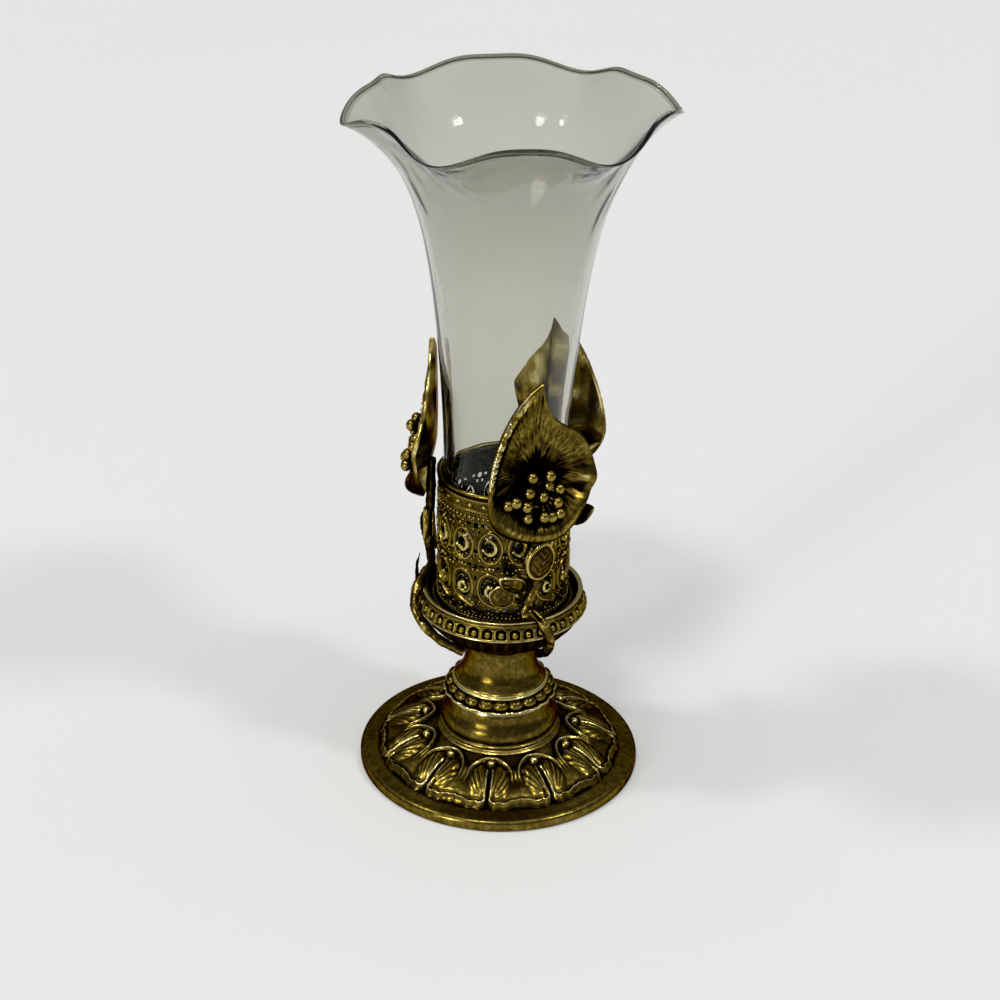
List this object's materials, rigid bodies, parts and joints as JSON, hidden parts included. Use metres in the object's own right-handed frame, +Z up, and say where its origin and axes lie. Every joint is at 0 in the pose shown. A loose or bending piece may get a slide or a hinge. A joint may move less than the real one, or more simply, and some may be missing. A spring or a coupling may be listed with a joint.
{
  "type": "bud vase with holder",
  "caption": "Bud vase: a clear crimped glass trumpet standing loose in a gilt openwork holder with flower sprays, a fluted dish, a waisted stem and a leaf-embossed round foot.",
  "frame": {"origin": "centre of the foot's underside, on the surface that the vase stands on", "axes": "+Z up along the vase's axis; -Y towards the side seen in the picture; +X to the right of that view"},
  "size_m": [0.0894, 0.095, 0.203],
  "materials": {
    "antique_gilt": "antique gilt with dark patina in the recesses",
    "dark_gilt": "dark patinated gilt",
    "plated_steel": "dull plated",
    "clear_glass": "clear, polished, faint grey-green"
  },
  "bodies": {
    "holder": {"foot": "antique_gilt", "hub_ring": "antique_gilt", "bead_ring": "antique_gilt", "spool": "antique_gilt", "dish": "antique_gilt", "cup_floor": "dark_gilt", "cup_filigree": "antique_gilt", "cup_rim_band": "antique_gilt", "cup_base_wire": "antique_gilt", "tie_bolt": "plated_steel", "foot_washer": "plated_steel", "foot_nut": "plated_steel", "spray_1_petal": "antique_gilt", "spray_1_stamens": "antique_gilt", "spray_1_twig": "dark_gilt", "spray_1_bud_leaf": "dark_gilt", "spray_1_pointed_leaf": "antique_gilt", "spray_1_round_leaf": "antique_gilt", "spray_2_petal": "antique_gilt", "spray_2_stamens": "antique_gilt", "spray_2_twig": "dark_gilt", "spray_2_bud_leaf": "dark_gilt", "spray_2_pointed_leaf": "antique_gilt", "spray_2_round_leaf": "antique_gilt", "spray_3_petal": "antique_gilt", "spray_3_stamens": "antique_gilt", "spray_3_twig": "dark_gilt", "spray_3_bud_leaf": "dark_gilt", "spray_3_pointed_leaf": "antique_gilt", "spray_3_round_leaf": "antique_gilt"},
    "glass": {"glass_insert": "clear_glass"}
  },
  "joints": [
    {"name": "glass_lift", "type": "slide", "parent": "holder", "child": "glass", "axis": [0, 0, 1], "range_m": [0, 0.085]}
  ]
}
